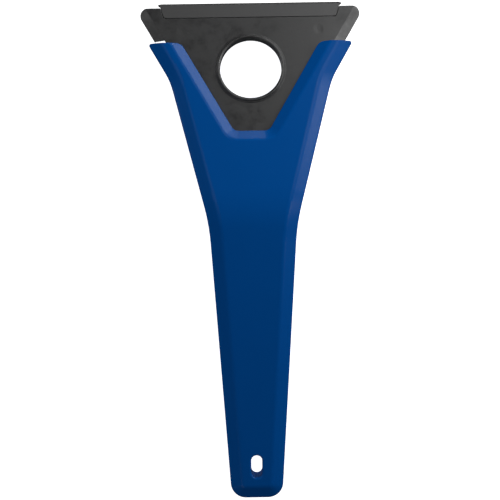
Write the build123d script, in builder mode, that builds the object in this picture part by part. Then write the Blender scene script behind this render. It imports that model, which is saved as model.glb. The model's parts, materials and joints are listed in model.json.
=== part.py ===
from build123d import *

import os
from math import atan, cos, degrees, radians, sin, tan

# Windshield ice scraper, in millimetres.
#
# A three-edged scraper plate is pushed into the V-shaped jaws of a handle made of two
# shells.  The plate can be pulled out, turned by a third of a turn and pushed back, so
# that its rubber lip, its smooth blade or its toothed blade is the one at work.
#
# The scraper lies on its back: +Z is up and out of its front, +Y runs from the tail of
# the handle to the working lip, and X runs across.  The origin is on the surface that it
# rests on, under the middle of its overall box.  "Stations" are distances from the tail,
# seen from the front.  The handle is bent, so that tail and horns touch the surface and
# the bend stands clear of it.

# ---- Scraper plate, in its own plane, measured from the centre of its finger hole ----
edge_reach = 34.3            # centre to each working edge
plate_thickness = 3.4
corner_count = 3
plate_corner = 3.7           # rounding of those corners, seen from the front
blade_bevel = 4.6            # width of the bevel on each face of a hard blade
blade_edge = 1.0             # thickness left along the two hard blades
finger_radius = 15.4
rim_width = 1.7              # raised ring around the finger hole
rim_height = 1.1             # how far that ring stands above each face
rim_round = 0.7              # rounding of its outer edge
rim_bevel = 0.7              # sloping inner edge of the ring: its width and its depth
rim_bevel_depth = 0.5
step_width = 2.3             # low step around the foot of the ring
step_height = 0.35
step_round = 0.25

notch_count = 7              # notches between the ice-breaking teeth
notch_margin = 22.7          # sharp corner of the plate to the nearest notch
notch_mouth = 6.2
notch_depth = 4.8
notch_side_angle = 70.0      # degrees between a notch's mouth and its sides
notch_round = 1.2            # rounding of its bottom corners

dimple_setback = 28.9        # sharp corner of the plate to the detent dimple beside it
dimple_radius = 2.6
dimple_depth = 0.08

# ---- Squeegee lip, in the same plane ----
lip_setback = 2.5            # how far the plate is cut back behind the lip's edge
lip_seat = 5.5               # how far the lip reaches into the plate
lip_end_setback = 13.4       # sharp corner of the plate to the end of the lip's edge
lip_end_lean = 18.0          # degrees by which its ends lean inward
lip_corner = 1.5
lip_bevel = 1.2              # width of the steep bevel on each side of its working edge
lip_edge = 0.9               # thickness of its working edge
lip_ear = 0.6                # how far the ends of the bevel stand out beyond the strip
lip_ear_bite = 1.5           # how far the working edge is cut back from those ends
lip_gap = 0.3                # parting gap around the moulded strip
web_thickness = 1.2          # tongue of the plate inside the lip
peg_count = 5                # rubber pegs through that tongue
peg_margin = 11.7            # end of the lip's edge to the nearest peg
peg_radius = 1.5

# ---- Handle, seen from the front ----
tail_width = 25.4
tail_corner = 7.6
bend_station = 137.2
bend_width = 43.4
bend_plan_round = 100.0
seat_margin = 9.2            # from the bend to the sharp lower corner of the plate
neck_drop = 5.8              # where neck and horns meet, below the finger hole's centre
neck_plan_round = 40.0
horn_rise = 13.2             # horn tops above the finger hole's centre
horn_wall = 3.6              # from the plate's edge out to the side of a horn
horn_outer_corner = 1.0
horn_inner_corner = 4.5
horn_width = 14.5            # from the side of a horn in to the V
v_floor_rise = 36.9          # floor of that V above the sharp lower corner of the plate
v_floor_corner = 4.0

# ---- Handle, seen from the side ----
tail_thickness = 12.0
bend_thickness = 17.0
horn_thickness = 12.6
arch_station = 144.7         # where the middle surface is bent
arch_height = 9.5            # height of the rear face above the surface there
arch_radius = 60.0           # bend of the middle surface
outer_bevel_width = 6.0      # bevel along the outline, on both shells
outer_bevel_depth = 3.4
jaw_bevel_width = 4.7        # bevel along the V
jaw_bevel_depth = 3.0
outer_soft_edge = 4.0        # rounding between the outer bevel and the face
jaw_soft_edge = 2.6          # rounding between the bevel of the V and the face
side_edge = 1.4              # rounding between the outer bevel and the handle's side
parting_depth = 0.35         # fine groove around the outside where the shells meet
parting_width = 0.3

# ---- Inside the handle ----
wall = 2.4
hollow_bevel_share = 0.7     # bevel inside the hollow, as a share of the one outside
pocket_gap = 0.35            # play of the plate in its pocket, on each side
detent_radius = 2.2
detent_height = 0.25
rib_thickness = 1.6
rib_stations = (56.0, 80.0, 128.0)
fit_gap = 0.1

# ---- Hanging slot ----
slot_station = 16.8
slot_width = 5.5
slot_length = 11.2
slot_round = 1.0             # rounding of its mouths

# ---- Screws ----
screw_radius = 1.5
screw_length = 8.0
screw_tip = 1.5              # length of the pointed end of the thread
screw_tip_radius = 0.3
screw_head_radius = 2.8
screw_head_height = 2.0
screw_grip = 3.0             # rear shell held under a screw's head
recess_width = 0.9           # arms of the cross recess
recess_length = 3.2
recess_depth = 1.1
boss_radius = 3.6
tail_screw_station = 36.0
grip_screw_station = 104.0
neck_screw_rise = 18.6       # above the sharp lower corner of the plate
neck_screw_reach = 5.4       # out from the plate's edge

os.makedirs("parts", exist_ok=True)

# ---- Worked-out sizes and places ----
third_turn = 120.0                                 # from one working edge to the next
half_turn = 30.0                                   # a blade's angle to the handle's axis
hole_station = bend_station + seat_margin + 2 * edge_reach
handle_length = hole_station + horn_rise
plate_half = plate_thickness / 2
lip_floor = edge_reach - lip_setback - lip_seat    # inner edge of the lip's seat
plate_top = edge_reach - lip_setback               # cut-back side of the plate
stock = 2 * (edge_reach + horn_rise)               # reaches past everything that is cut
hair = 0.01                                        # distances below this count as none
steepest_flat = 18.0                               # degrees by which an outer flat may lean


def flank_half_width(reach, rise):
    """Half the width between two lines parallel to the blades, at a height above the hole."""
    return reach / cos(radians(half_turn)) + rise * tan(radians(half_turn))


edge_length = 2 * flank_half_width(edge_reach, edge_reach)    # between two sharp corners
notch_pitch = (edge_length - 2 * notch_margin - notch_mouth) / (notch_count - 1)
dimple_distance = 2 * edge_reach - dimple_setback  # from the centre of the plate
lip_length = edge_length - 2 * lip_end_setback     # along its working edge
peg_pitch = (lip_length - 2 * peg_margin) / (peg_count - 1)
jaw_reach = edge_reach + horn_wall - horn_width    # finger hole's centre to the V's sides
v_floor_drop = 2 * edge_reach - v_floor_rise       # and down to the V's floor
neck_screw_drop = 2 * edge_reach - neck_screw_rise
neck_screw_offset = flank_half_width(edge_reach + neck_screw_reach, -neck_screw_drop)

# Rear, middle and front lines of the side view: heights at tail, bend and horn tops.
grip_slope = arch_height / (arch_station - outer_bevel_width)
rear_heights = (-grip_slope * outer_bevel_width, arch_height, 0.0)
thicknesses = (tail_thickness, bend_thickness, horn_thickness)
front_heights = tuple(low + t for low, t in zip(rear_heights, thicknesses))
middle_heights = tuple(low + t / 2 for low, t in zip(rear_heights, thicknesses))

tail_middle, bend_middle, horn_middle = middle_heights
head_tilt = degrees(atan((bend_middle - horn_middle) / (handle_length - arch_station)))
grip_tilt = degrees(atan((bend_middle - tail_middle) / arch_station))

overall_length = (
    hole_station + edge_reach * cos(radians(head_tilt)) + lip_edge / 2 * sin(radians(head_tilt))
)
tail_y = -overall_length / 2
bend_y = tail_y + bend_station
hole_y = tail_y + hole_station
neck_y = hole_y - neck_drop
v_floor_y = hole_y - v_floor_drop


def height_at(heights, station):
    """Height of a bent line at a station, ignoring the rounding of its bend."""
    tail, bend, horn = heights
    if station < arch_station:
        return bend + (tail - bend) * (arch_station - station) / arch_station
    return bend + (horn - bend) * (station - arch_station) / (handle_length - arch_station)


def grip_plane(station):
    """Plane on the middle surface of the grip, facing out of its front."""
    return Plane(
        origin=(0, tail_y + station, height_at(middle_heights, station)),
        x_dir=(1, 0, 0),
        z_dir=(0, -sin(radians(grip_tilt)), cos(radians(grip_tilt))),
    )


# Plane of the scraper plate, and the frames of its hard blades, whose +Y points outward.
plate_plane = Plane(
    origin=(0, hole_y, height_at(middle_heights, hole_station)),
    x_dir=(1, 0, 0),
    z_dir=(0, sin(radians(head_tilt)), cos(radians(head_tilt))),
)
toothed_blade = plate_plane.rotated((0, 0, third_turn))


def head_plane(offset, drop):
    """Plane on the middle surface of the head, beside and below the finger hole."""
    return Plane(
        origin=plate_plane.from_local_coords((offset, -drop, 0)),
        x_dir=plate_plane.x_dir,
        z_dir=plate_plane.z_dir,
    )


screw_planes = {
    "tail_screw": grip_plane(tail_screw_station),
    "grip_screw": grip_plane(grip_screw_station),
    "neck_screw_left": head_plane(-neck_screw_offset, neck_screw_drop),
    "neck_screw_right": head_plane(neck_screw_offset, neck_screw_drop),
}


# ---- Outlines ----
def mirrored_outline(corners):
    """Closed outline from the (x, y, rounding) corners of its right half."""
    right = [(x, y) for x, y, _ in corners]
    left = [(-x, y) for x, y, _ in reversed(corners)]
    radii = [r for _, _, r in corners]
    with BuildSketch() as outline:
        with BuildLine():
            FilletPolyline(*right, *left, radius=radii + radii[::-1], close=True)
        make_face()
    return outline.sketch


def grip_corners():
    """Right half of the grip and neck, from the tail up to where the horns begin."""
    neck_half = flank_half_width(edge_reach + horn_wall, -neck_drop)
    return [
        (tail_width / 2, tail_y, tail_corner),
        (bend_width / 2, bend_y, bend_plan_round),
        (neck_half, neck_y, neck_plan_round),
    ]


def handle_outline(overrun=0.0):
    """Handle with its V; with an overrun, the horns run on past their tops, unrounded."""
    rise = horn_rise + overrun
    outer_corner = 0 if overrun else horn_outer_corner
    inner_corner = 0 if overrun else horn_inner_corner
    return mirrored_outline([
        *grip_corners(),
        (flank_half_width(edge_reach + horn_wall, rise), hole_y + rise, outer_corner),
        (flank_half_width(jaw_reach, rise), hole_y + rise, inner_corner),
        (flank_half_width(jaw_reach, -v_floor_drop), v_floor_y, v_floor_corner),
    ])


def hollow_outline():
    """Hollow of the handle: grip and neck inset by a wall."""
    *sides, (neck_x, neck_top, _) = grip_corners()
    with BuildSketch() as outline:
        add(mirrored_outline([*sides, (neck_x, neck_top, 0)]))
        offset(amount=-wall, kind=Kind.INTERSECTION)
    return outline.sketch


def parting_outline():
    """Handle, inset by the depth of its parting groove."""
    with BuildSketch() as outline:
        add(handle_outline())
        offset(amount=-parting_depth, mode=Mode.REPLACE)
    return outline.sketch


def plate_outline(top, grow=0.0, corner=0.0):
    """Triangle of the plate in its own plane, grown all round and cut off at the top."""
    reach = edge_reach + grow
    with BuildSketch() as outline:
        with BuildLine():
            right = (flank_half_width(reach, top), top)
            left = (-right[0], top)
            FilletPolyline((0, -2 * reach), right, left, radius=corner, close=True)
        make_face()
    return outline.sketch


def lip_outline(inset):
    """Squeegee strip in the plate's plane; a gap all round is taken off by the inset."""
    lean = tan(radians(lip_end_lean))
    bottom = lip_floor + inset
    shoulder = edge_reach - lip_bevel
    ear_half = lip_length / 2 + lip_ear - inset
    corners = [
        (ear_half - lip_ear_bite, edge_reach, 0),
        (ear_half, (shoulder + edge_reach) / 2, 0),
        (lip_length / 2 - inset - lip_bevel * lean, shoulder, 0),
        (lip_length / 2 - inset - (edge_reach - bottom) * lean, bottom, lip_corner),
    ]
    with BuildSketch() as outline:
        add(mirrored_outline(corners))
    return outline.sketch


def side_profile(lower, lower_round, upper, upper_round, overrun=0.0):
    """Area of the side view between two bent lines, each given by its three heights."""
    with BuildSketch() as profile:
        with BuildLine():
            stations = (0, arch_station, handle_length + overrun)
            low_points = [(tail_y + s, height_at(lower, s)) for s in stations]
            high_points = [(tail_y + s, height_at(upper, s)) for s in stations]
            low = FilletPolyline(*low_points, radius=lower_round)
            high = FilletPolyline(*high_points, radius=upper_round)
            Line(low @ 0, high @ 0)
            Line(low @ 1, high @ 1)
        make_face()
    return profile.sketch


def half_profile(side, inset=0.0, overlap=0.0, overrun=0.0):
    """Side view of the front (side 1) or rear (side -1) shell, or of the space in it."""
    outer = front_heights if side > 0 else rear_heights
    return side_profile(
        [h - side * overlap for h in middle_heights],
        arch_radius - side * overlap,
        [h - side * inset for h in outer],
        arch_radius + side * (bend_thickness / 2 - inset),
        overrun,
    )


# ---- Handle shells ----
def outer_flats(form, side):
    """Grip face and head face: the two large flats that look out of a shell."""
    flats = form.faces().filter_by(GeomType.PLANE)
    least_rise = cos(radians(steepest_flat))
    outward = flats.filter_by(lambda face: side * face.normal_at().Z > least_rise)
    return outward.sort_by(SortBy.AREA)[-2:].sort_by(Axis.Y)


def longest_side(face):
    """Longest straight edge of a face, which is one of the sides of the grip."""
    return face.edges().filter_by(GeomType.LINE).sort_by(SortBy.LENGTH)[-1]


def v_floor_edge(face):
    """Straight edge of the head face along the floor of the V."""
    centred = face.edges().filter_by(GeomType.LINE).filter_by(lambda e: abs(e.center().X) < hair)
    return centred.sort_by(Axis.Y)[-1]


def shell_form(side):
    """Outer form of the front (side 1) or rear (side -1) shell, not yet hollow."""
    with BuildPart() as form:
        with BuildSketch(Plane.XY.offset(-stock)):
            add(handle_outline(horn_rise))
        extrude(amount=2 * stock)
        with BuildSketch(Plane.YZ):
            add(half_profile(side, overrun=2 * horn_rise))
        extrude(amount=stock, both=True, mode=Mode.INTERSECT)

        # Bevel along the V, and its soft inner edge.
        head_face = outer_flats(form, side)[1]
        chamfer(
            v_floor_edge(head_face),
            length=jaw_bevel_width,
            length2=jaw_bevel_depth,
            reference=head_face,
        )
        fillet(v_floor_edge(outer_flats(form, side)[1]), jaw_soft_edge)

        # Bevel all round the outline, from one horn to the other, soft on both sides.
        grip_face = outer_flats(form, side)[0]
        chamfer(
            longest_side(grip_face),
            length=outer_bevel_width,
            length2=outer_bevel_depth,
            reference=grip_face,
        )
        fillet(longest_side(outer_flats(form, side)[0]), outer_soft_edge)
        tail_edges = form.edges().filter_by(GeomType.LINE).filter_by(
            lambda e: abs(e.center().Y - tail_y) < hair and abs(e.center().X) < hair
        )
        fillet(tail_edges.sort_by(Axis.Z)[-1 if side > 0 else 0], side_edge)

        # The horns end square across, with rounded corners.
        with BuildSketch(Plane.XY.offset(-stock)):
            add(handle_outline())
        extrude(amount=2 * stock, mode=Mode.INTERSECT)

        # Hanging slot, with a rounded mouth.
        with BuildSketch(grip_plane(slot_station)):
            SlotOverall(slot_length, slot_width, rotation=90)
        extrude(amount=stock, both=True, mode=Mode.SUBTRACT)
        fillet(outer_flats(form, side)[0].inner_wires()[0].edges(), slot_round)
    return form.part


def hollow_form(side):
    """Space inside one shell, around its ribs, its bosses and the plate's pocket."""
    with BuildPart() as hollow:
        with BuildSketch(Plane.XY.offset(-stock)):
            add(hollow_outline())
        extrude(amount=2 * stock)
        with BuildSketch(Plane.YZ):
            add(half_profile(side, inset=wall, overlap=wall))
        extrude(amount=stock, both=True, mode=Mode.INTERSECT)
        grip_face = outer_flats(hollow, side)[0]
        chamfer(
            longest_side(grip_face),
            length=outer_bevel_width * hollow_bevel_share,
            length2=outer_bevel_depth * hollow_bevel_share,
            reference=grip_face,
        )
        for station in rib_stations:
            with BuildSketch(Plane.XZ.offset(-tail_y - station - rib_thickness / 2)):
                Rectangle(2 * stock, 2 * stock)
            extrude(amount=rib_thickness, mode=Mode.SUBTRACT)
        for plane in screw_planes.values():
            with BuildSketch(plane.offset(-stock)):
                Circle(boss_radius)
            extrude(amount=2 * stock, mode=Mode.SUBTRACT)
        with BuildSketch(grip_plane(slot_station).offset(-stock)):
            SlotOverall(slot_length + 2 * wall, slot_width + 2 * wall, rotation=90)
        extrude(amount=2 * stock, mode=Mode.SUBTRACT)
        with BuildSketch(plate_plane.offset(-stock)):
            add(plate_outline(stock, pocket_gap + wall))
        extrude(amount=2 * stock, mode=Mode.SUBTRACT)
    return hollow.part


with BuildPart() as parting_groove:
    with BuildSketch(Plane.YZ):
        add(side_profile(
            [h - parting_width / 2 for h in middle_heights],
            arch_radius - parting_width / 2,
            [h + parting_width / 2 for h in middle_heights],
            arch_radius + parting_width / 2,
            horn_rise,
        ))
    extrude(amount=stock, both=True)
    with BuildSketch(Plane.XY.offset(-stock)):
        add(parting_outline())
    extrude(amount=2 * stock, mode=Mode.SUBTRACT)

with BuildPart() as plate_pocket:
    with BuildSketch(plate_plane):
        add(plate_outline(stock, pocket_gap, plate_corner))
    extrude(amount=plate_half + pocket_gap, both=True)

front_form = shell_form(1)
front_hollow = hollow_form(1)
rear_form = shell_form(-1)
rear_hollow = hollow_form(-1)

with BuildPart() as front_shell:
    add(front_form)
    add(front_hollow, mode=Mode.SUBTRACT)
    add(plate_pocket.part, mode=Mode.SUBTRACT)
    add(parting_groove.part, mode=Mode.SUBTRACT)
    # The bump on the pocket's front wall drops into the plate's lowest dimple.
    with Locations(head_plane(0, dimple_distance).offset(plate_half + pocket_gap)):
        Cone(
            detent_radius / 2,
            detent_radius,
            detent_height,
            align=(Align.CENTER, Align.CENTER, Align.MAX),
        )
    # Blind holes, as the screws' threads have formed them.
    for plane in screw_planes.values():
        with BuildSketch(plane):
            Circle(screw_radius + fit_gap / 2)
        extrude(amount=screw_length - screw_grip + fit_gap, mode=Mode.SUBTRACT)
front_shell.part.label = "front_shell"
export_step(front_shell.part, "parts/front_shell.step")

with BuildPart() as rear_shell:
    add(rear_form)
    add(rear_hollow, mode=Mode.SUBTRACT)
    add(plate_pocket.part, mode=Mode.SUBTRACT)
    add(parting_groove.part, mode=Mode.SUBTRACT)
    # Clearance holes and counterbores for the screws.
    for plane in screw_planes.values():
        with BuildSketch(plane):
            Circle(screw_radius + 2 * fit_gap)
        extrude(amount=-stock, mode=Mode.SUBTRACT)
        with BuildSketch(plane.offset(-screw_grip)):
            Circle(screw_head_radius + 2 * fit_gap)
        extrude(amount=-stock, mode=Mode.SUBTRACT)
rear_shell.part.label = "rear_shell"
export_step(rear_shell.part, "parts/rear_shell.step")

# ---- Screws ----
for name, plane in screw_planes.items():
    with BuildPart() as screw:
        with BuildSketch(plane.offset(-screw_grip - screw_head_height)):
            Circle(screw_head_radius)
        extrude(amount=screw_head_height)
        fillet(screw.edges().sort_by(Axis(plane.origin, plane.z_dir))[0], screw_head_height / 2)
        with BuildSketch(plane.offset(-screw_grip)):
            Circle(screw_radius)
        extrude(amount=screw_length)
        chamfer(
            screw.edges().sort_by(Axis(plane.origin, plane.z_dir))[-1],
            length=screw_tip,
            length2=screw_radius - screw_tip_radius,
        )
        with BuildSketch(plane.offset(-screw_grip - screw_head_height)):
            Rectangle(recess_length, recess_width)
            Rectangle(recess_width, recess_length)
        extrude(amount=recess_depth, mode=Mode.SUBTRACT)
    screw.part.label = name
    export_step(screw.part, f"parts/{name}.step")

# ---- Scraper plate ----
with BuildPart() as scraper_plate:
    with BuildSketch(plate_plane.offset(-plate_half)):
        add(plate_outline(plate_top))
    extrude(amount=plate_thickness)
    plate_axis = Axis(plate_plane.origin, plate_plane.z_dir)
    for last in (0, -1):
        face = scraper_plate.faces().sort_by(plate_axis)[last]
        chamfer(
            face.edges().sort_by(Axis.Y)[:2],
            length=blade_bevel,
            length2=(plate_thickness - blade_edge) / 2,
            reference=face,
        )
    with BuildSketch(plate_plane.offset(-plate_half)):
        add(plate_outline(plate_top, corner=plate_corner))
    extrude(amount=plate_thickness, mode=Mode.INTERSECT)

    # Stepped ring around the finger hole, on both faces.
    step_sizes = (step_width, step_height, step_round)
    rim_sizes = (rim_width, rim_height, rim_round)
    for width, height, rounding in (step_sizes, rim_sizes):
        with BuildSketch(plate_plane.offset(-plate_half - height)):
            Circle(finger_radius + width)
        extrude(amount=plate_thickness + 2 * height)
        ring_faces = scraper_plate.faces().sort_by(plate_axis)
        fillet(ring_faces[0].edges() + ring_faces[-1].edges(), rounding)
    with BuildSketch(plate_plane.offset(-stock)):
        Circle(finger_radius)
    extrude(amount=2 * stock, mode=Mode.SUBTRACT)
    for last in (0, -1):
        crest = scraper_plate.faces().sort_by(plate_axis)[last]
        chamfer(
            crest.edges().sort_by(SortBy.RADIUS)[0],
            length=rim_bevel,
            length2=rim_bevel_depth,
            reference=crest,
        )

    # Notches between the teeth; each narrows towards its rounded bottom.
    with BuildSketch(toothed_blade.offset(-stock)) as notches:
        with GridLocations(notch_pitch, 0, notch_count, 1):
            with Locations((0, edge_reach)):
                Trapezoid(
                    notch_mouth,
                    notch_depth,
                    notch_side_angle,
                    rotation=180,
                    align=(Align.CENTER, Align.MIN),
                )
        fillet(notches.vertices().group_by(Axis.Y)[0], notch_round)
    extrude(amount=2 * stock, mode=Mode.SUBTRACT)

    # Detent dimples on the line to each corner, on both faces.
    dimple_ball = (dimple_radius**2 + dimple_depth**2) / (2 * dimple_depth)
    for side in (1, -1):
        height = side * (plate_half + dimple_ball - dimple_depth)
        with Locations(plate_plane.offset(height)):
            with PolarLocations(dimple_distance, corner_count, start_angle=half_turn):
                Sphere(dimple_ball, mode=Mode.SUBTRACT)

    # Seat of the squeegee lip on both faces, and holes for its pegs in the tongue left.
    for side in (1, -1):
        with BuildSketch(plate_plane.offset(side * web_thickness / 2)):
            add(lip_outline(0))
        extrude(amount=side * stock, mode=Mode.SUBTRACT)
    with BuildSketch(plate_plane.offset(-stock)):
        with Locations((0, (lip_floor + plate_top) / 2)):
            with GridLocations(peg_pitch, 0, peg_count, 1):
                Circle(peg_radius)
    extrude(amount=2 * stock, mode=Mode.SUBTRACT)
scraper_plate.part.label = "scraper_plate"
export_step(scraper_plate.part, "parts/scraper_plate.step")

# ---- Squeegee lip ----
with BuildPart() as squeegee_lip:
    with BuildSketch(plate_plane.offset(-plate_half)):
        add(lip_outline(lip_gap))
    extrude(amount=plate_thickness)
    section_plane = Plane(
        origin=plate_plane.origin, x_dir=plate_plane.y_dir, z_dir=plate_plane.x_dir
    )
    with BuildSketch(section_plane):
        with BuildLine():
            Polyline(
                (0, -plate_half),
                (edge_reach - lip_bevel, -plate_half),
                (edge_reach, -lip_edge / 2),
                (edge_reach, lip_edge / 2),
                (edge_reach - lip_bevel, plate_half),
                (0, plate_half),
                close=True,
            )
        make_face()
    extrude(amount=lip_length, both=True, mode=Mode.INTERSECT)
    # The plate's tongue fills this slit, and pegs of rubber pass through it.
    with BuildSketch(plate_plane.offset(-web_thickness / 2)):
        with Locations((0, plate_top)):
            Rectangle(2 * lip_length, plate_top, align=(Align.CENTER, Align.MAX))
    extrude(amount=web_thickness, mode=Mode.SUBTRACT)
    with BuildSketch(plate_plane.offset(-web_thickness / 2)):
        with Locations((0, (lip_floor + plate_top) / 2)):
            with GridLocations(peg_pitch, 0, peg_count, 1):
                Circle(peg_radius)
    extrude(amount=web_thickness)
squeegee_lip.part.label = "squeegee_lip"
export_step(squeegee_lip.part, "parts/squeegee_lip.step")

print("handle", round(handle_length, 2), "overall", round(overall_length, 2))
print("head tilt", round(head_tilt, 2), "grip tilt", round(grip_tilt, 2))
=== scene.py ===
# %% [markdown]
# # A three-edged windshield ice scraper
#
# The scraper has two moving bodies. A blue handle is made of two moulded shells that
# four screws hold together. A dark triangular plate slides into the V-shaped jaws at its
# head. The plate has a rubber lip on one side, a smooth blade on the second and a
# toothed blade on the third.
#
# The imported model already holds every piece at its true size, in metres. This notebook
# leaves the shapes as they are and gives them their surfaces, a floor, light and a
# camera.

import json
from math import cos, pi, radians, sin

import bpy
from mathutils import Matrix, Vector


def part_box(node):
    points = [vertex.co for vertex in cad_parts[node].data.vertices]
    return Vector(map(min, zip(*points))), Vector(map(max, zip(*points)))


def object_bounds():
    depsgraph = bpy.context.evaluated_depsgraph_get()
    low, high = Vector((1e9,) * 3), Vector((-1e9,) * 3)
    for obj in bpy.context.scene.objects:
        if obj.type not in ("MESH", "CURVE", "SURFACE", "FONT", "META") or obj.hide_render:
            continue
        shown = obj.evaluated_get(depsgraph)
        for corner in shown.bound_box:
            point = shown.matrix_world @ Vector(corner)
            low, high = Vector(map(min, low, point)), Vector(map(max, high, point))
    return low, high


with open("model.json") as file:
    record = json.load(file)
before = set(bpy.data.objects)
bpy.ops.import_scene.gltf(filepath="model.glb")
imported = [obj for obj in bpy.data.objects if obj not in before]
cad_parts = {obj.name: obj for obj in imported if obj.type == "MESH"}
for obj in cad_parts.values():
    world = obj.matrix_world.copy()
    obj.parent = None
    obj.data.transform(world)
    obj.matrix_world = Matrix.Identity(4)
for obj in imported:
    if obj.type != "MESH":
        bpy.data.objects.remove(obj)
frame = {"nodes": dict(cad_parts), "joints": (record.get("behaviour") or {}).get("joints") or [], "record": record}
cad_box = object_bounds()
bpy.ops.object.select_all(action="DESELECT")
print("nodes:", sorted(frame["nodes"]))

# %% [markdown]
# ## Places to work from
#
# Light and camera are set out from the model itself. The finger hole comes from the
# record's mounts, the plate's travel comes from its joint, and the overall box gives
# the middle of the scraper. If the model changes, everything here follows it.

# %% Measure the scraper
MM = 0.001
mounts = {mount["name"]: mount for mount in frame["record"]["mounts"]}
hole_centre = Vector(mounts["finger_hole"]["pos_m"])
lowest, highest = (Vector(corner) for corner in cad_box)
middle = (lowest + highest) / 2
slide = next(joint for joint in frame["joints"] if joint["name"] == "blade_slide")
plate_drop = -slide["axis"][2] * slide["range_m"][1]
print("overall size in mm:", [round(v / MM, 1) for v in highest - lowest])
print("finger hole in mm:", [round(v / MM, 1) for v in hole_centre])
print("drop of the plate as it slides out, in mm:", round(plate_drop / MM, 1))

# %% [markdown]
# ## Node helpers
#
# Colours are given as sRGB hex values, as in any paint program, but shaders work in
# linear light, so one function turns them over. Another adds a node, sets its values
# and joins it to the nodes before it.
#
# The other functions put together what every moulded or plated surface needs: a noise
# pattern of a given size, two colours mixed by it, a range of roughness taken from it,
# a fine relief over rounded edges, and the shader that goes to the output.


# %% Helpers for colours and nodes
def linear(hex_colour):
    """Turn an sRGB hex colour into the linear RGBA that shaders expect."""
    channels = [int(hex_colour[i : i + 2], 16) / 255 for i in (1, 3, 5)]
    rgb = [c / 12.92 if c <= 0.04045 else ((c + 0.055) / 1.055) ** 2.4 for c in channels]
    return rgb + [1.0]


def add_node(material, kind, settings=None, **inputs):
    """Add a node. An input is a value, or a (node, output name) pair to link from."""
    node = material.node_tree.nodes.new(kind)
    for name, value in (settings or {}).items():
        setattr(node, name, value)
    for name, value in inputs.items():
        wanted = name.replace("_", " ")
        socket = next(s for s in node.inputs if s.name == wanted and s.enabled)
        if isinstance(value, tuple) and isinstance(value[0], bpy.types.Node):
            source = next(s for s in value[0].outputs if s.name == value[1] and s.enabled)
            material.node_tree.links.new(source, socket)
        else:
            socket.default_value = value
    return node


def new_material(name):
    """An empty node material and the node that gives its Object coordinates."""
    material = bpy.data.materials.new(name)
    material.use_nodes = True
    material.node_tree.nodes.clear()
    return material, add_node(material, "ShaderNodeTexCoord")


def noise(material, place, size, **values):
    """Noise with features about `size` across, fixed to the piece."""
    return add_node(
        material, "ShaderNodeTexNoise", Vector=(place, "Object"), Scale=1 / size, **values
    )


def mix(material, pattern, colour, cloud_colour):
    """Two hex colours mixed by a noise pattern."""
    return add_node(
        material,
        "ShaderNodeMix",
        {"data_type": "RGBA"},
        Factor=(pattern, "Fac"),
        A=linear(colour),
        B=linear(cloud_colour),
    )


def vary(material, pattern, low, high, **ends):
    """A value that a noise pattern moves between low and high."""
    return add_node(
        material,
        "ShaderNodeMapRange",
        Value=(pattern, "Fac"),
        To_Min=low,
        To_Max=high,
        **ends,
    )


def round_edges(material, radius, samples=6):
    """Normals that shade every edge as if it had this radius."""
    return add_node(material, "ShaderNodeBevel", {"samples": samples}, Radius=radius)


def emboss(material, pattern, height, rounded):
    """A noise pattern raised by `height` over rounded edges."""
    return add_node(
        material,
        "ShaderNodeBump",
        Height=(pattern, "Fac"),
        Distance=height,
        Normal=(rounded, "Normal"),
    )


def add_shader(material, **inputs):
    """Add the shader with these inputs, and join it to the output."""
    shader = add_node(material, "ShaderNodeBsdfPrincipled", **inputs)
    add_node(material, "ShaderNodeOutputMaterial", Surface=(shader, "BSDF"))


def paint(material, nodes):
    """Put a material on CAD nodes."""
    for name in nodes:
        for slot in frame["nodes"][name].material_slots:
            slot.material = material
    print(material.name, "has", len(material.node_tree.nodes), "nodes and is on", nodes)


# %% [markdown]
# ## Handle: injection-moulded ABS
#
# The handle is ABS plastic, coloured right through with blue pigment and moulded in a
# polished steel tool. The eye gets three things from that. The colour is deep and even,
# with faint flow clouds. The surface is glossy, so the bevels mirror the soft lights.
# And there is a very slight orange peel, because plastic shrinks a little as it cools.
#
# Moulded edges are never knife sharp. A Bevel node rounds their shading by a few tenths
# of a millimetre, which gives each edge its thin bright line.

# %% Moulded ABS
ABS_BLUE = "#004A93"
ABS_CLOUD_BLUE = "#00488F"
CLOUD_SIZE = 22 * MM         # flow clouds in the pigment
GLOSS_SIZE = 9 * MM          # patches where handling has dulled the gloss a little
ABS_ROUGHNESS = (0.19, 0.25)
PEEL_SIZE = 1.6 * MM         # waves of the orange peel
PEEL_HEIGHT = 0.004 * MM
ABS_EDGE = 0.3 * MM          # rounding of a moulded edge
ABS_IOR = 1.54
ABS_SPECULAR = 0.07          # 0.5 would be the full sheen that the IOR gives

moulded_abs, place = new_material("moulded_abs")
clouds = noise(moulded_abs, place, CLOUD_SIZE, Detail=3.0)
pigment = mix(moulded_abs, clouds, ABS_BLUE, ABS_CLOUD_BLUE)
handling = noise(moulded_abs, place, GLOSS_SIZE, Detail=4.0)
dulling = vary(moulded_abs, handling, *ABS_ROUGHNESS)
rounded = round_edges(moulded_abs, ABS_EDGE)
peel = noise(moulded_abs, place, PEEL_SIZE, Detail=1.0)
orange_peel = emboss(moulded_abs, peel, PEEL_HEIGHT, rounded)
add_shader(
    moulded_abs,
    Base_Color=(pigment, "Result"),
    Roughness=(dulling, "Result"),
    Normal=(orange_peel, "Normal"),
    IOR=ABS_IOR,
    Specular_IOR_Level=ABS_SPECULAR,
)
paint(moulded_abs, ["front_shell", "rear_shell"])

# %% [markdown]
# ## Plate: injection-moulded polypropylene
#
# The plate has to be hard enough to scrape ice and soft enough to spare the glass, so
# it is a tough polypropylene, coloured dark grey. Its tool is spark-eroded, which
# prints a fine grain on the flats. That grain spreads the light, so the plate looks
# satin beside the glossy handle. Real grain is about 0.1 mm across; it is drawn at
# 0.45 mm here, because the true one is too fine to show.
#
# Ice and fingers rub the grain smooth in places. A cloudy pattern varies the roughness
# for that, from patches a centimetre wide down to small smudges.

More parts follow.
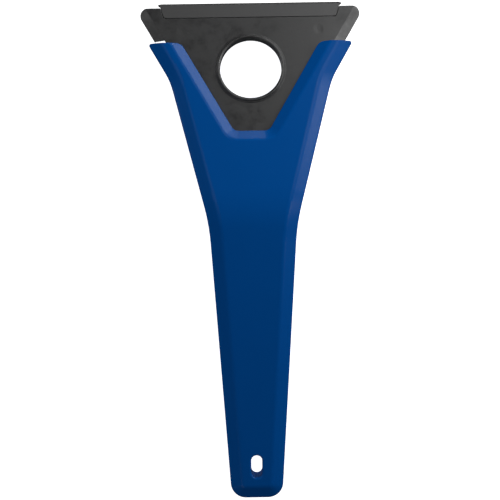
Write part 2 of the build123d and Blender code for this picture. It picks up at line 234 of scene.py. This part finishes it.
# %% Moulded polypropylene
PLATE_GREY = "#161616"
PLATE_CLOUD_GREY = "#131313"
WEAR_SIZE = 12 * MM          # patches where use has polished the satin
SMUDGES = 0.85               # how much the small smudges weigh against the patches
WEAR_SPAN = (0.35, 0.65)     # the part of the pattern that fills the roughness range
PLATE_ROUGHNESS = (0.30, 0.58)
GRAIN_SIZE = 0.45 * MM
GRAIN_HEIGHT = 0.006 * MM
PLATE_EDGE = 0.3 * MM
PLATE_IOR = 1.49
PLATE_SPECULAR = 0.86

moulded_pp, place = new_material("moulded_polypropylene")
wear = noise(moulded_pp, place, WEAR_SIZE, Detail=6.0, Roughness=SMUDGES)
pigment = mix(moulded_pp, wear, PLATE_GREY, PLATE_CLOUD_GREY)
grain = noise(moulded_pp, place, GRAIN_SIZE, Detail=2.0)
satin = vary(
    moulded_pp,
    wear,
    *PLATE_ROUGHNESS,
    From_Min=WEAR_SPAN[0],
    From_Max=WEAR_SPAN[1],
)
rounded = round_edges(moulded_pp, PLATE_EDGE)
spark_grain = emboss(moulded_pp, grain, GRAIN_HEIGHT, rounded)
add_shader(
    moulded_pp,
    Base_Color=(pigment, "Result"),
    Roughness=(satin, "Result"),
    Normal=(spark_grain, "Normal"),
    IOR=PLATE_IOR,
    Specular_IOR_Level=PLATE_SPECULAR,
)
paint(moulded_pp, ["scraper_plate"])

# %% [markdown]
# ## Lip: moulded TPE rubber
#
# The lip wipes melted ice and water away. It is a soft thermoplastic rubber, moulded
# through the holes in the plate's tongue. Rubber is duller than hard plastic and a
# little lighter here, with a faint bloom of dust that sits in clouds.

# %% Moulded rubber
RUBBER_GREY = "#242424"
RUBBER_BLOOM = "#292929"
BLOOM_SIZE = 6 * MM
RUBBER_GRAIN = 0.6 * MM
RUBBER_GRAIN_HEIGHT = 0.005 * MM
RUBBER_ROUGHNESS = (0.48, 0.60)
RUBBER_EDGE = 0.25 * MM
RUBBER_IOR = 1.5
RUBBER_SPECULAR = 1.0

moulded_rubber, place = new_material("moulded_rubber")
bloom = noise(moulded_rubber, place, BLOOM_SIZE, Detail=5.0)
dusting = mix(moulded_rubber, bloom, RUBBER_GREY, RUBBER_BLOOM)
grain = noise(moulded_rubber, place, RUBBER_GRAIN, Detail=2.0)
dull = vary(moulded_rubber, grain, *RUBBER_ROUGHNESS)
rounded = round_edges(moulded_rubber, RUBBER_EDGE)
rubber_grain = emboss(moulded_rubber, grain, RUBBER_GRAIN_HEIGHT, rounded)
add_shader(
    moulded_rubber,
    Base_Color=(dusting, "Result"),
    Roughness=(dull, "Result"),
    Normal=(rubber_grain, "Normal"),
    IOR=RUBBER_IOR,
    Specular_IOR_Level=RUBBER_SPECULAR,
)
paint(moulded_rubber, ["squeegee_lip"])

# %% [markdown]
# ## Screws: zinc-plated steel
#
# Four thread-forming screws close the handle from behind. They are cold-headed from
# steel wire and zinc plated, which gives a bright but slightly clouded bluish metal.

# %% Zinc-plated steel
ZINC = "#C3C6CB"
ZINC_CLOUD = "#A9ADB3"
PLATING_SIZE = 0.8 * MM
ZINC_ROUGHNESS = (0.25, 0.42)
SCREW_EDGE = 0.15 * MM

zinc_steel, place = new_material("zinc_plated_steel")
plating = noise(zinc_steel, place, PLATING_SIZE, Detail=4.0)
zinc = mix(zinc_steel, plating, ZINC, ZINC_CLOUD)
polish = vary(zinc_steel, plating, *ZINC_ROUGHNESS)
rounded = round_edges(zinc_steel, SCREW_EDGE, samples=4)
add_shader(
    zinc_steel,
    Base_Color=(zinc, "Result"),
    Roughness=(polish, "Result"),
    Normal=(rounded, "Normal"),
    Metallic=1.0,
)
paint(zinc_steel, sorted(name for name in frame["nodes"] if "screw" in name))

# %% [markdown]
# ## Floor: a white light table
#
# Under the scraper is a white table that glows a little by itself, as product
# photographers use to lose the shadows. A wide plane is enough, since it runs out of
# sight on every side. Part of its brightness is its own glow, and the rest is paint that
# the lamps light.
#
# A light table is masked close around the object, or its glow creeps up the sides and
# washes out the reflections. So the floor is seen by the camera only. It is left out
# of the light that falls on the scraper, and lets the softbox below it shine through.
#
# The head slopes down towards the table, and the plate slides out along that slope. If
# the scraper lay on the table, the plate would run into the top. So it is held just
# above, high enough for the plate to come all the way out.

# %% Floor
FLOOR_SIZE = 30.0            # metres
FLOOR_SPARE = 3 * MM         # left under the plate once it is out
FLOOR_WHITE = "#F4F4F4"
FLOOR_GLOW = 1.0
FLOOR_ROUGHNESS = (0.85, 0.95)
FLOOR_SPECULAR = 0.1
PAINT_SIZE = 120 * MM        # soft clouds in the table's paint

floor_height = -plate_drop - FLOOR_SPARE
bpy.ops.mesh.primitive_plane_add(size=FLOOR_SIZE, location=(0, 0, floor_height))
floor = bpy.context.object
floor.name = "floor"
table_white, place = new_material("light_table_white")
clouds = noise(table_white, place, PAINT_SIZE, Detail=2.0)
matt = vary(table_white, clouds, *FLOOR_ROUGHNESS)
add_shader(
    table_white,
    Base_Color=linear(FLOOR_WHITE),
    Roughness=(matt, "Result"),
    Emission_Color=linear(FLOOR_WHITE),
    Emission_Strength=FLOOR_GLOW,
    Specular_IOR_Level=FLOOR_SPECULAR,
)
floor.data.materials.append(table_white)
floor.visible_diffuse = False
floor.visible_glossy = False
floor.visible_shadow = False
print("floor:", FLOOR_SIZE, "m square, at", round(floor_height / MM, 1), "mm")

# %% [markdown]
# ## Light: softboxes around a dark ceiling
#
# Glossy plastic shows whatever it mirrors. The flats of the scraper face the ceiling,
# so the ceiling stays dark and they show their own deep colour. The softboxes stand
# around the scraper instead.
#
# - Low boxes on the right and beyond the head, and a higher one at the right: the
#   bevels that face them mirror them as broad pale bands.
# - Boxes at 50 degrees and more: they light the flats and the soft edges from
#   directions that no flat mirrors. The one at the right hangs close, so the satin
#   plate grows lighter from left to right.
# - Weak boxes at the left and behind the tail: they keep the far sides from going
#   black.
# - One wide box under the table: it stands for the glow that the table top throws up.
#   It lights the deep walls of the slot and the underside evenly. It is left out of
#   reflections, because the steep walls would mirror it as grey.
#
# Each one is given by where it stands as seen from the finger hole (in degrees), by its
# distance from there and its size (in metres), and by its brightness, which is what a
# mirror turned towards it would show.

# %% Softboxes
FAR = 0.9                    # metres from the finger hole
NEAR = 0.27
SOFTBOXES = {
    # name: (azimuth, elevation, distance, width, height, brightness)
    "right_box": (7, 25, FAR, 0.15, 0.16, 11.5),
    "right_high_box": (-12, 38, FAR, 0.15, 0.16, 10.5),
    "right_low_box": (15, 5, FAR, 0.16, 0.16, 16.0),
    "head_strip": (50, 15, FAR, 0.31, 0.16, 12.0),
    "head_box": (77, 10, FAR, 0.47, 0.20, 5.0),
    "near_right_box": (25, 50, NEAR, 0.16, 0.16, 2.8),
    "high_head_box": (60, 50, FAR, 0.31, 0.31, 3.5),
    "high_left_box": (165, 60, FAR, 0.45, 0.45, 1.1),
    "left_low_box": (165, 10, FAR, 0.45, 0.31, 4.4),
    "tail_box": (240, 30, FAR, 0.40, 0.31, 1.5),
    "under_box": (0, -90, NEAR, 0.60, 0.60, 2.0),
}
ROOM_COLOUR = "#DDE3EA"
ROOM_LIGHT = 0.08            # what little the dark room itself gives

for name, (azimuth, elevation, distance, width, height, brightness) in SOFTBOXES.items():
    lamp = bpy.data.lights.new(name, "AREA")
    lamp.shape = "RECTANGLE"
    lamp.size, lamp.size_y = width, height
    lamp.energy = brightness * pi * width * height
    around, up = radians(azimuth), radians(elevation)
    toward = Vector((cos(around) * cos(up), sin(around) * cos(up), sin(up)))
    softbox = bpy.data.objects.new(name, lamp)
    softbox.location = hole_centre + toward * distance
    softbox.rotation_euler = toward.to_track_quat("Z", "Y").to_euler()
    softbox.visible_glossy = elevation > 0
    bpy.context.scene.collection.objects.link(softbox)
    print(name, round(lamp.energy, 2), "W")

world = bpy.data.worlds.new("dim_room")
world.use_nodes = True
room = world.node_tree.nodes["Background"]
room.inputs["Color"].default_value = linear(ROOM_COLOUR)
room.inputs["Strength"].default_value = ROOM_LIGHT
bpy.context.scene.world = world

# %% [markdown]
# ## Camera: straight above
#
# The camera looks straight down from about two and a half lengths of the scraper, and is
# turned by nearly one degree, so that the tail leans a little to the right. The lens is
# chosen so that the scraper just fills the height of the picture.

# %% Camera
CAMERA_DISTANCE = 0.650      # above the rubber lip
FIELD_WIDTH = 0.2525         # what the picture spans at that distance
CAMERA_TURN = radians(-0.88)
CAMERA_OFFSET = -1.75 * MM   # sideways, from the scraper's centre line
CAMERA_RISE = -0.25 * MM     # towards the head, from the scraper's middle

lip_height = sum(corner.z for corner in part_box("squeegee_lip")) / 2
camera_data = bpy.data.cameras.new("overhead_camera")
camera_data.lens = camera_data.sensor_width * CAMERA_DISTANCE / FIELD_WIDTH
camera = bpy.data.objects.new("overhead_camera", camera_data)
camera.location = (CAMERA_OFFSET, middle.y + CAMERA_RISE, lip_height + CAMERA_DISTANCE)
camera.rotation_euler = (0, 0, CAMERA_TURN)
bpy.context.scene.collection.objects.link(camera)
bpy.context.scene.camera = camera
bpy.context.scene.view_settings.view_transform = "Standard"
print("lens:", round(camera_data.lens, 1), "mm")
